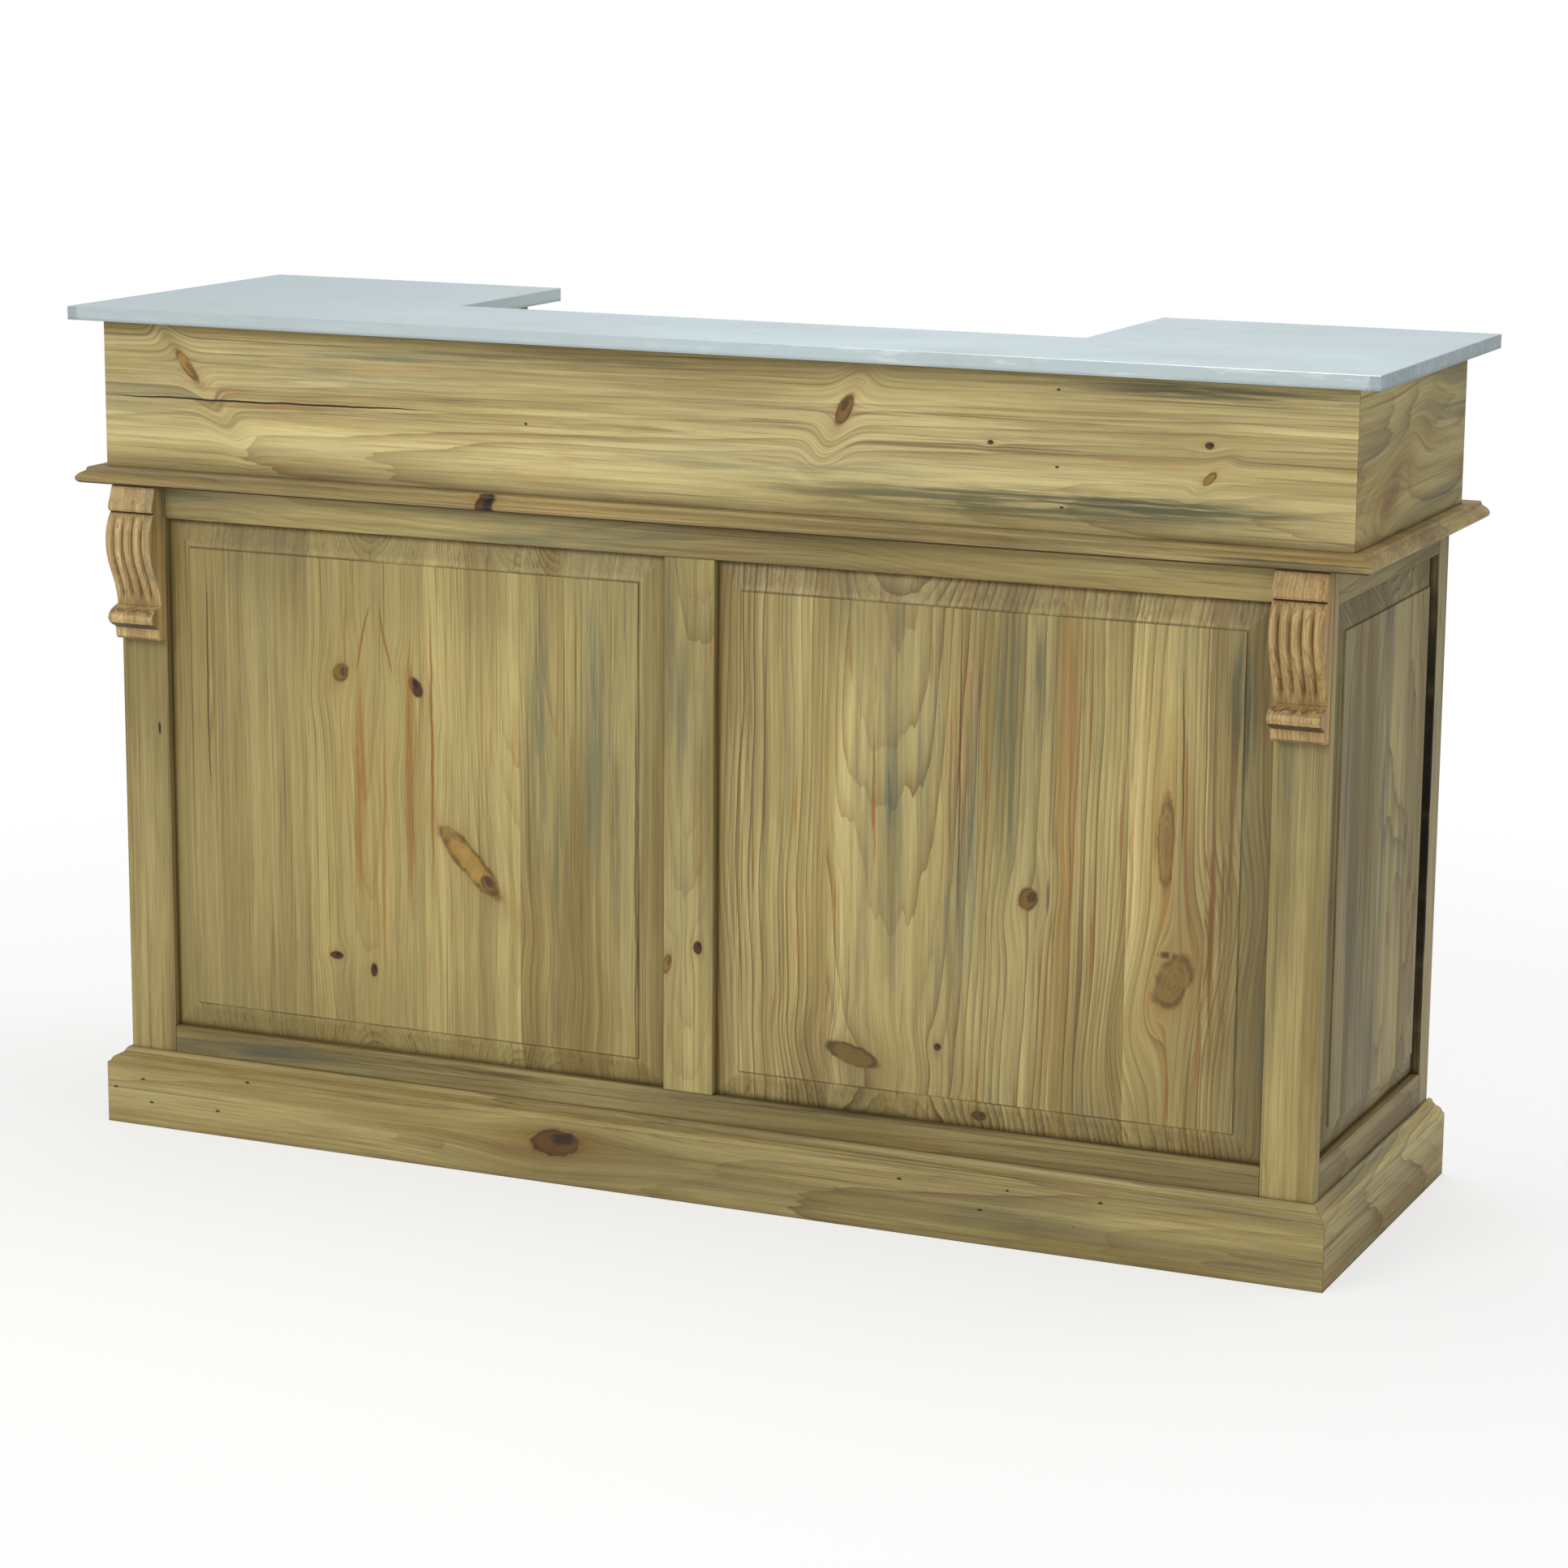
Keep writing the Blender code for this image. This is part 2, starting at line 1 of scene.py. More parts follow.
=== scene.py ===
"""Looks for the bar counter: waxed, antiqued pine boards, a folded zinc top and blackened steel."""
import functools
import itertools
import math
import types
import bpy
import mathutils
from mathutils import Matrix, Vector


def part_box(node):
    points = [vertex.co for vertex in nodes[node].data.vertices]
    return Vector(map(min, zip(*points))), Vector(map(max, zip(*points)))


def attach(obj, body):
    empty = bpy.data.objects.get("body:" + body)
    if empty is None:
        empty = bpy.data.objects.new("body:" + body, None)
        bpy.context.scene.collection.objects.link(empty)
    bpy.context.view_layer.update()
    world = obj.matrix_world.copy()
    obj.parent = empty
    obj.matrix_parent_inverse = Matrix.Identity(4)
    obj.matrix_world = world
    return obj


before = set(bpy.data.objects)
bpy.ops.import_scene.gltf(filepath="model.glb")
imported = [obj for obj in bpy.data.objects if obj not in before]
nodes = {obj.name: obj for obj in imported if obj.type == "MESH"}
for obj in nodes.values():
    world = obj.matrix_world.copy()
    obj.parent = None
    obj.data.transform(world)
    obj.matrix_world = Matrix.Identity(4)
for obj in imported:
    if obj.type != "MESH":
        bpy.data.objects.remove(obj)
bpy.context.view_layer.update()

# How the kinds of node that differ from the rest are used here
SETTINGS = {"Mix": {"data_type": "RGBA"}, "MapRange": {"interpolation_type": "SMOOTHSTEP"}}
SOCKETS = {"Mix": (0, 6, 7)}
OUTPUTS = {"Mix": 2, "TexCoord": "Object", "AmbientOcclusion": "AO", "NewGeometry": "Normal"}


def put(tree, kind, *values, out=None, **settings):
    """Add one node, such as Math.ADD or TexNoise; its sockets are linked or set in order, or by name."""
    kind, _, operation = kind.partition(".")
    made = tree.nodes.new("ShaderNode" + kind)
    if operation:
        made.operation = operation
    for key, value in {**SETTINGS.get(kind, {}), **settings}.items():
        setattr(made, key, value)
    by_name = bool(values) and isinstance(values[0], dict)
    sockets = values[0] if by_name else dict(zip(SOCKETS.get(kind, range(len(values))), values))
    for key, value in sockets.items():
        if isinstance(value, bpy.types.NodeSocket):
            tree.links.new(value, made.inputs[key])
        else:
            made.inputs[key].default_value = value
    if made.outputs:
        return made.outputs[OUTPUTS.get(kind, 0) if out is None else out]
    return None


def srgb(text):
    """Hex colour as seen on screen, turned to the linear values the renderer works in."""
    parts = [int(text[i:i + 2], 16) / 255 for i in (0, 2, 4)]
    linear = [c / 12.92 if c <= 0.04045 else ((c + 0.055) / 1.055) ** 2.4 for c in parts]
    return (*linear, 1.0)


def new_material(name):
    """An empty material, and the function that adds nodes to it."""
    material = bpy.data.materials.new(name)
    material.use_nodes = True
    material.node_tree.nodes.clear()
    return material, functools.partial(put, material.node_tree)


def finish_material(add, color, rough, height, strength, distance, same_all_over):
    """Shader and fine relief; what is the same all over the surface is set on the shader's own sockets."""
    bump = add("Bump", {"Height": height, "Strength": strength, "Distance": distance})
    varied = {"Base Color": color, "Roughness": rough, "Normal": bump}
    add("OutputMaterial", add("BsdfPrincipled", {**varied, **same_all_over}))


def dress(name, material):
    """Give one CAD node its only material."""
    nodes[name].data.materials.clear()
    nodes[name].data.materials.append(material)


def frame_place(add):
    """Where a point lies in the frame at rest, in metres; it goes along with a moving body."""
    return add("SeparateXYZ", add("TexCoord")).node.outputs


def figure(add, place, size, seed, detail=3.0, rough=0.5):
    """Noise drawn out along the first axis of place; size is a feature's length and width in mm."""
    length, width = size
    shares = (1000 / length, 1000 / width, 1000 / width)
    shifts = (seed, seed * 1.7, seed * 2.3)
    at = [add("Math.MULTIPLY_ADD", p, share, shift) for p, share, shift in zip(place, shares, shifts)]
    values = {"Vector": add("CombineXYZ", *at), "Scale": 1.0, "Detail": detail, "Roughness": rough}
    return add("TexNoise", values)


# Patterns of the pine: length and width of a feature in mm, seed, detail, roughness, faint and full level
PATTERNS = {
    # where the late wood stands out
    "patchy": (500, 71.43, 5.0, 2.0, 0.5, 0.30, 0.66),
    # short flecks, fine dark lines between the rings, and long drawn lines
    "fleck": (385, 7.69, 13.0, 3.0, 0.6, 0.42, 0.70),
    "fine": (294, 3.333, 57.0, 2.0, 0.6, 0.56, 0.66),
    "drawn": (714, 5.263, 37.0, 3.0, 0.6, 0.60, 0.70),
    # broad warm bands and narrow streaks of resin
    "warm": (667, 33.33, 17.0, 3.0, 0.5, 0.56, 0.74),
    "resin": (278, 8.696, 73.0, 3.0, 0.6, 0.60, 0.70),
    # parts of the board that hold sap stain, and the stain's own streaks
    "zone": (1000, 181.8, 23.0, 1.0, 0.5, 0.47, 0.63),
    "blue": (476, 38.46, 29.0, 4.0, 0.62, 0.44, 0.72),
    # wear that breaks up a knot's rim, a painted mark, a quirk line, and the wax and painted shade in
    # corners
    "worn_rim": (22.22, 22.22, 61.0, 2.0, 0.5, 0.25, 0.60),
    "worn_mark": (200, 6.667, 51.0, 4.0, 0.65, 0.36, 0.60),
    "worn_line": (111.1, 111.1, 43.0, 2.0, 0.5, 0.25, 0.60),
    "uneven_wax_and_shade": (125, 45.45, 47.0, 3.0, 0.5, 0.20, 0.70),
}
# Length and width in mm of what bends the rings, of broad streaks and of silky ribbons in the grain
DRIFT = (625, 200)
RING_WANDER = (333.3, 16.67)
STREAK = (769, 58.8)
RIBBON = (769, 8.0)
# Fibres are drawn at 1.6 mm, coarser than real ones, so that they show
FIBRE = (62.5, 1.613)
KNOT_EDGE = (16.67, 16.67)
KNOT_SPECKLE = (6.25, 6.25)
MARK_BEND = (83.33, 500)
# Old nail holes and worm holes: one chance in each cell of this length and width, in millimetres
HOLE_CELL = (90.91, 76.92)

HEX_COLOURS = {
    "fleck": "8c7641", "late_wood": "77501f", "fine_line": "6f5128", "drawn_line": "66522b",
    "resin": "9a6a2e", "sap_stain": "6b6f58", "knot_pale": "826b2e", "knot_tan": "bb9648",
    "knot_heart": "492a11", "knot_speckle": "6a431d", "knot_rim": "38210f", "knot_black": "150d07",
    "hole": "2c2417", "glue_seam": "6b5430", "quirk": "5d4c2c", "darker_to_edges": "5f5230",
    "end_grain": "5e4120", "bevel": "73623a", "tongue": "4a3216", "corner_wax_and_shade": "3b2e1a",
    "groove_wax_and_shade": "4a2c12", "under_painted_shade": "2f1c16",
}
COLOURS = {name: srgb(text) for name, text in HEX_COLOURS.items()}


def pattern(add, place, name, seed):
    """One of the patterns above, from 0 where it is absent to 1 where it is full."""
    length, width, shift, detail, rough, faint, full = PATTERNS[name]
    noise = figure(add, place, (length, width), seed + shift, detail, rough)
    return add("MapRange", noise, faint, full)


def stave_values(add, across, edges, tones, shift):
    """Tone of the stave at a place, and a second value by which staves differ."""
    low = edges[0] - 0.4
    high = edges[-1] + 0.4
    where = add("MapRange", add("Math.ADD", across, shift), low, high, interpolation_type="LINEAR")
    ramp = add("ValToRGB", where)
    ramp.node.color_ramp.interpolation = "CONSTANT"
    cells = ramp.node.color_ramp.elements
    for number, (edge, tone) in enumerate(zip([low, *edges], tones)):
        position = (edge - low) / (high - low)
        cell = cells[number] if number < 2 else cells.new(position)
        cell.position = position
        cell.color = (tone, (tone * 7.3) % 1.0, 0.0, 1.0)
    return add("SeparateColor", ramp).node.outputs


def glued_staves(add, across, staves):
    """A glued-up panel: each stave comes from another log, and the eye finds the glue line."""
    edges, tones = staves
    tone, other, _ = stave_values(add, across, edges, tones, 0.0)
    beyond = stave_values(add, across, edges, tones, 0.0005)[0]
    change = add("Math.ABSOLUTE", add("Math.SUBTRACT", tone, beyond))
    seam = add("Math.GREATER_THAN", change, 0.001)
    seed = add("Math.MULTIPLY", other, 31.0)
    heart = add("Math.MULTIPLY_ADD", other, 0.5, edges[0] - 0.1)
    return types.SimpleNamespace(tone=tone, seed=seed, seam=seam, heart=heart)


def knot_fields(add, place, knots, seed):
    """What the knots do to the board: they push the rings, bend the fibres and show rings of their own."""
    g, a, _ = place
    zero = dict(push=0.0, flow=0.0, mask=0.0, rings=0.0, glow=0.0, dark=0.0, cover=0.0, black=0.0)
    field = types.SimpleNamespace(**zero)
    for along, across, length, width, turn, push, dark in knots:
        dg = add("Math.SUBTRACT", g, along)
        da = add("Math.SUBTRACT", a, across)
        turned_g = add("Math.MULTIPLY_ADD", da, math.sin(turn), add("Math.MULTIPLY", dg, math.cos(turn)))
        turned_a = add("Math.MULTIPLY_ADD", dg, -math.sin(turn), add("Math.MULTIPLY", da, math.cos(turn)))
        ng = add("Math.DIVIDE", turned_g, length)
        na = add("Math.DIVIDE", turned_a, width)

        def distance(centre_g, centre_a, scale_g=1.0, scale_a=1.0):
            """Square of the distance from a point of the knot, in the knot's own half sizes."""
            away_g = add("Math.MULTIPLY", add("Math.SUBTRACT", ng, centre_g), scale_g)
            away_a = add("Math.MULTIPLY", add("Math.SUBTRACT", na, centre_a), scale_a)
            return add("Math.ADD", add("Math.POWER", away_g, 2.0), add("Math.POWER", away_a, 2.0))

        ragged = add("Math.MULTIPLY_ADD", figure(add, place, KNOT_EDGE, seed + 3.0), 0.6, -0.3)
        off = add("Math.ADD", add("Math.SQRT", distance(0.0, 0.0)), ragged)
        wide = add("Math.EXPONENT", add("Math.MULTIPLY", distance(0.0, 0.0, 0.28, 0.42), -1.0))
        field.push = add("Math.MULTIPLY_ADD", wide, push * 0.4, field.push)
        bent = add("Math.MULTIPLY", da, wide)
        field.flow = add("Math.MULTIPLY_ADD", bent, -min(0.85, 0.5 * push), field.flow)
        core = add("Math.SUBTRACT", 1.0, add("MapRange", off, 0.85, 1.2))
        circles = add("Math.MULTIPLY", add("Math.FRACT", add("Math.MULTIPLY", off, 3.4)), 0.4)
        rim = add("Math.MULTIPLY", add("MapRange", off, 0.55, 0.95), min(0.9, 0.35 + 3.5 * dark))
        ringed = add("Math.MULTIPLY", add("Math.MAXIMUM", circles, rim), core)
        if dark > 0.4:
            spot = add("Math.ADD", add("Math.SQRT", distance(0.3, 0.25)), ragged)
            spot = add("Math.SUBTRACT", 1.0, add("MapRange", spot, 0.30, 0.58))
            field.black = add("Math.MAXIMUM", field.black, add("Math.MULTIPLY", spot, dark))
        field.mask = add("Math.MAXIMUM", field.mask, core)
        field.rings = add("Math.MAXIMUM", field.rings, ringed)
        field.glow = add("Math.MAXIMUM", field.glow, add("Math.POWER", wide, 5.0))
        field.dark = add("Math.MAXIMUM", field.dark, add("Math.MULTIPLY", core, dark))
        field.cover = add("Math.MAXIMUM", field.cover, add("Math.MULTIPLY", core, min(1.0, dark * 5.0)))
    return field


def knot_colours(add, place, seed, color, knot):
    """Knots: tan to dark brown hearts, speckled, with a dark ring of bark that wear has broken up."""
    heart = add("Mix", add("MapRange", knot.dark, 0.19, 0.28), COLOURS["knot_pale"], COLOURS["knot_tan"])
    heart = add("Mix", add("MapRange", knot.dark, 0.32, 0.85), heart, COLOURS["knot_heart"])
    speckle = figure(add, place, KNOT_SPECKLE, seed + 39.0)
    heart = add("Mix", add("Math.MULTIPLY", speckle, 0.4), heart, COLOURS["knot_speckle"])
    color = add("Mix", knot.cover, color, heart)
    rim = add("Math.MULTIPLY", knot.rings, 0.85)
    rim = add("Math.MULTIPLY", rim, pattern(add, place, "worn_rim", seed))
    color = add("Mix", rim, color, COLOURS["knot_rim"])
    return add("Mix", knot.black, color, COLOURS["knot_black"])


def old_holes(add, place, seed):
    """Nail holes and worm holes, up to 5 mm across, in about a quarter of the cells."""
    g, a, b = place
    length, width = HOLE_CELL
    at = (add("Math.MULTIPLY_ADD", g, 1000 / length, seed), add("Math.MULTIPLY", a, 1000 / width),
          add("Math.MULTIPLY", b, 1000 / width))
    cell = add("TexVoronoi", {"Vector": add("CombineXYZ", *at), "Scale": 1.0}).node.outputs
    chance, size, _ = add("SeparateColor", cell["Color"]).node.outputs
    near = add("Math.LESS_THAN", cell["Distance"], add("Math.MULTIPLY", size, 0.028))
    return add("Math.MULTIPLY", near, add("Math.GREATER_THAN", chance, 0.72))


# Half widths in metres: a crack is cut in, a thin mark has a firm edge, a broad one is broken by wear
CRACK = 0.002
THIN_MARK = 0.0025
BROAD_MARK = 0.0035


def lay_marks(add, place, seed, color, cut, marks):
    """Streaks and cracks as tapered lines; the thinnest are cracks, and cut into the surface."""
    g, a, _ = place
    for along, across, half_length, half_width, slope, text, amount in marks:
        dg = add("Math.SUBTRACT", g, along)
        da = add("Math.SUBTRACT", a, across)
        bend = add("Math.SUBTRACT", figure(add, place, MARK_BEND, seed + 41.0), 0.5)
        aside = add("Math.MULTIPLY_ADD", dg, -slope, da)
        aside = add("Math.MULTIPLY_ADD", bend, min(half_width * 5.0, 0.012), aside)
        far_along = add("Math.POWER", add("Math.DIVIDE", dg, half_length), 2.0)
        far_across = add("Math.POWER", add("Math.DIVIDE", aside, half_width), 2.0)
        inside = add("Math.SUBTRACT", 1.0, add("Math.ADD", far_along, far_across))
        on = add("MapRange", inside, 0.0, 0.5 if half_width < THIN_MARK else 1.0)
        if half_width > BROAD_MARK:
            on = add("Math.MULTIPLY", on, pattern(add, place, "worn_mark", seed))
        color = add("Mix", add("Math.MULTIPLY", on, amount), color, srgb(text))
        if half_width < CRACK:
            cut = add("Math.MAXIMUM", cut, on)
    return color, cut


def lay_field(add, place, seed, color, field, grain):
    """A raised and fielded panel: its quirk line, darker colour towards the field's edges, and end grain on
    the bevels.
    """
    g, a, b = place
    (low_g, high_g), (low_a, high_a), (rear, sign) = field
    shown = add("Math.GREATER_THAN", add("Math.MULTIPLY", b, sign), rear)
    off_g = add("Math.ABSOLUTE", add("Math.SUBTRACT", g, (low_g + high_g) / 2))
    off_a = add("Math.ABSOLUTE", add("Math.SUBTRACT", a, (low_a + high_a) / 2))
    off_g = add("Math.SUBTRACT", off_g, (high_g - low_g) / 2)
    off_a = add("Math.SUBTRACT", off_a, (high_a - low_a) / 2)
    beyond = add("Math.MAXIMUM", off_g, off_a)

    def lay(color, amount, name):
        return add("Mix", add("Math.MULTIPLY", amount, shown), color, COLOURS[name])

    line = add("Math.ABSOLUTE", add("Math.SUBTRACT", beyond, 0.0006))
    line = add("Math.SUBTRACT", 1.0, add("MapRange", line, 0.0006, 0.0018))
    line = add("Math.MULTIPLY", line, pattern(add, place, "worn_line", seed))
    color = lay(color, add("Math.MULTIPLY", line, 0.6), "quirk")
    # darker towards the field's edges, over the last 140 mm inside them
    darker_to_edges = add("Math.MULTIPLY_ADD", grain.zone, 0.14, 0.12)
    darker_to_edges = add("Math.MULTIPLY", add("MapRange", beyond, -0.14, 0.0), darker_to_edges)
    color = lay(color, darker_to_edges, "darker_to_edges")
    bevel = add("MapRange", beyond, 0.002, 0.012)
    cut_across = add("Math.MULTIPLY", bevel, add("Math.GREATER_THAN", off_g, off_a))
    cut_across = add("Math.MULTIPLY", cut_across, add("Math.POWER", grain.late, 0.6))
    cut_across = add("Math.MULTIPLY", cut_across, add("Math.MULTIPLY_ADD", grain.patchy, 0.7, 0.1))
    color = lay(color, cut_across, "end_grain")
    color = lay(color, add("Math.MULTIPLY", bevel, 0.24), "bevel")
    near_frame = add("MapRange", beyond, 0.028, 0.037)
    return lay(color, add("Math.MULTIPLY", near_frame, 0.25), "tongue")


def lay_wax_and_painted_shade(add, place, seed, color, wax, reach):
    """Dark wax and painted shade where boards meet and under the mouldings."""
    open_air = add("AmbientOcclusion", {"Distance": reach}, samples=8)
    # painted shade: the less open air round a point, the darker its colour, broken up by uneven wax
    shade_and_wax_amount = add("Math.SUBTRACT", 1.0, add("MapRange", open_air, 0.35, 0.93))
    uneven = add("Math.MULTIPLY_ADD", pattern(add, place, "uneven_wax_and_shade", seed), 0.5, 0.42)
    shade_and_wax_amount = add("Math.MULTIPLY", add("Math.MULTIPLY", shade_and_wax_amount, uneven), 0.82 * wax)
    return add("Mix", shade_and_wax_amount, color, COLOURS["corner_wax_and_shade"])


def lay_groove_and_under_shade(add, color, groove):
    """Brown wax and painted shade in thin grooves of mouldings and carving, and painted shade on faces that
    turn downwards.
    """
    # painted shade in the grooves: the less open air round a point, the darker
    open_air = add("AmbientOcclusion", {"Distance": groove}, samples=8)
    deep = add("Math.SUBTRACT", 1.0, add("MapRange", open_air, 0.34, 0.62))
    color = add("Mix", add("Math.MULTIPLY", deep, 0.6), color, COLOURS["groove_wax_and_shade"])
    # painted shade: faces that turn downwards are darkened, as if out of the light from above
    upward = add("SeparateXYZ", add("NewGeometry")).node.outputs["Z"]
    under = add("MapRange", add("Math.MULTIPLY", upward, -1.0), 0.45, 0.80)
    return add("Mix", add("Math.MULTIPLY", under, 0.85), color, COLOURS["under_painted_shade"])


def pine(name, grain, face, seed, tone=1.0, pith=(0.0, 0.08), slope=0.02, pitch=0.0042, rings=0.5, red=0.5,
         stain=0.45, staves=None, knots=(), marks=(), field=None, light="c9b97b", mid="a18d53", wax=1.0,
         reach=0.009, groove=None, even=None, wave=1.0):
    """Planed pine, streaked by resin and sap stain, waxed with dark wax and rubbed back to a satin.

    grain is the axis the fibres run along and face the axis the board's show face looks along.
    Rings are cut from a log whose heart is pith away, so the faces and the ends agree.
    tone, rings, red, stain and wax say how strong each layer is, wax being the dark wax with painted shade
    in corners; even calms the streaks up to a place.
    """
    material, add = new_material(name)
    outputs = frame_place(add)
    side = [axis for axis in "XYZ" if axis not in (grain, face)][0]
    g, a, b = place = [outputs["XYZ".index(axis)] for axis in (grain, side, face)]
    glued = glued_staves(add, a, staves) if staves else None
    heart = glued.heart if glued else pith[0]
    seeded_g = add("Math.ADD", g, glued.seed) if glued else g
    drift = figure(add, (seeded_g, a, b), DRIFT, seed, 2.0)
    wobble = add("Math.SUBTRACT", drift, 0.5)
    knot = knot_fields(add, place, knots, seed)

    # Growth rings: distance from the heart of the log, with the fibres flowing round each knot
    along_fibres = (seeded_g, add("Math.ADD", a, knot.flow), b)
    off_heart = add("Math.SUBTRACT", along_fibres[1], heart)
    from_heart = add("Math.MULTIPLY_ADD", wobble, 0.06 * wave, off_heart)
    depth = add("Math.ADD", add("Math.MULTIPLY_ADD", g, slope, pith[1]), b)
    depth = add("Math.MULTIPLY_ADD", wobble, 0.05 * wave, depth)
    radius = add("Math.ADD", add("Math.POWER", from_heart, 2.0), add("Math.POWER", depth, 2.0))
    years = add("Math.ADD", add("Math.DIVIDE", add("Math.SQRT", radius), pitch), knot.push)
    wander = figure(add, along_fibres, RING_WANDER, seed + 9.0, 2.0)
    years = add("Math.ADD", years, add("Math.MULTIPLY", wander, 0.9))
    year = add("Math.ADD", add("Math.FLOOR", years), seed)
    good_year = add("TexWhiteNoise", {"W": year}, noise_dimensions="1D")
    late = add("Math.POWER", add("Math.FRACT", years), 3.0)
    late = add("Math.MULTIPLY", late, add("Math.MULTIPLY_ADD", good_year, 0.9, 0.25))
    patchy = pattern(add, along_fibres, "patchy", seed)
    late_seen = add("Math.MULTIPLY", late, add("Math.MULTIPLY_ADD", patchy, 0.65, 0.35))

    # Base colour, then layers from broad to fine
    lively = 1.0
    if even:
        calm_end, lively_start = even
        lively = add("MapRange", a, calm_end, lively_start, 0.3, 1.0, interpolation_type="LINEAR")
    streak = figure(add, along_fibres, STREAK, seed + 11.0, 3.0, 0.55)
    deeper = add("Math.SUBTRACT", add("MapRange", streak, 0.3, 0.7), 0.45)
    color = add("Mix", add("Math.MULTIPLY_ADD", deeper, lively, 0.45), srgb(light), srgb(mid))

    def lay(color, amount, share, name):
        return add("Mix", add("Math.MULTIPLY", amount, share), color, COLOURS[name])

    color = lay(color, pattern(add, along_fibres, "fleck", seed), 0.30, "fleck")
    color = lay(color, late_seen, rings * 1.35, "late_wood")
    fine = add("Math.MULTIPLY", pattern(add, along_fibres, "fine", seed), patchy)
    color = lay(color, fine, 0.40, "fine_line")
    color = lay(color, pattern(add, along_fibres, "drawn", seed), 0.6, "drawn_line")
    warm = add("Math.MULTIPLY", pattern(add, along_fibres, "warm", seed), 0.5)
    resin = add("Math.MULTIPLY", pattern(add, along_fibres, "resin", seed), 1.1)
    warm = add("Math.MULTIPLY", add("Math.MAXIMUM", warm, resin), red)
    warm = add("Math.MAXIMUM", warm, add("Math.MULTIPLY", knot.glow, 0.55))
    color = add("Mix", warm, color, COLOURS["resin"])
    zone = pattern(add, along_fibres, "zone", seed)
    blue = add("Math.MULTIPLY", pattern(add, along_fibres, "blue", seed), zone)
    color = lay(color, blue, stain * 1.25, "sap_stain")

    # Light and dark: single fibres, the log's drift, good and lean years, and silky ribbons
    fibre = figure(add, along_fibres, FIBRE, seed + 31.0, 2.0, 0.7)
    shade = add("MapRange", drift, 0.3, 0.7, 0.82, 1.14, interpolation_type="LINEAR")
    shade = add("Math.MULTIPLY", shade, add("Math.MULTIPLY_ADD", good_year, -0.14, 1.06))
    ribbon = figure(add, along_fibres, RIBBON, seed + 71.0, 3.0, 0.6)
    ribbon = add("MapRange", ribbon, 0.3, 0.7, -0.16, 0.14, interpolation_type="LINEAR")
    shade = add("Math.MULTIPLY", shade, add("Math.MULTIPLY_ADD", ribbon, lively, 1.0))
    grey = add("MapRange", fibre, 0.25, 0.75, 0.82 * tone, 1.16 * tone, interpolation_type="LINEAR")
    grey = add("Math.MULTIPLY", grey, shade)
    if glued:
        grey = add("Math.MULTIPLY", grey, add("Math.MULTIPLY_ADD", glued.tone, 0.55, 0.69))
    color = add("VectorMath.SCALE", {0: color, "Scale": grey})

    # What time and the workshop left on the board, some painted shadows among the marks, then painted shade
    # in corners, grooves and undersides
    if knots:
        color = knot_colours(add, place, seed, color, knot)
    cut = old_holes(add, place, seed)
    color = lay(color, cut, 0.85, "hole")
    if glued:
        color = lay(color, glued.seam, 0.45, "glue_seam")
    color, cut = lay_marks(add, place, seed, color, cut, marks)
    if field:
        surface = types.SimpleNamespace(zone=zone, late=late, patchy=patchy)
        color = lay_field(add, place, seed, color, field, surface)
    color = lay_wax_and_painted_shade(add, place, seed, color, wax, reach)
    if groove:
        color = lay_groove_and_under_shade(add, color, groove)

    rough = add("MapRange", streak, 0.2, 0.8, 0.46, 0.62, interpolation_type="LINEAR")
    height = add("Math.MULTIPLY_ADD", late_seen, 0.30, add("Math.MULTIPLY", fibre, 0.45))
    height = add("Math.MULTIPLY_ADD", cut, -3.0, height)
    height = add("Math.MULTIPLY_ADD", knot.mask, -0.5, height)
    satin_wax = {"IOR": 1.45, "Coat Weight": 0.05, "Coat Roughness": 0.4}
    finish_material(add, color, rough, height, 0.55, 0.0008, satin_wax)
    return material


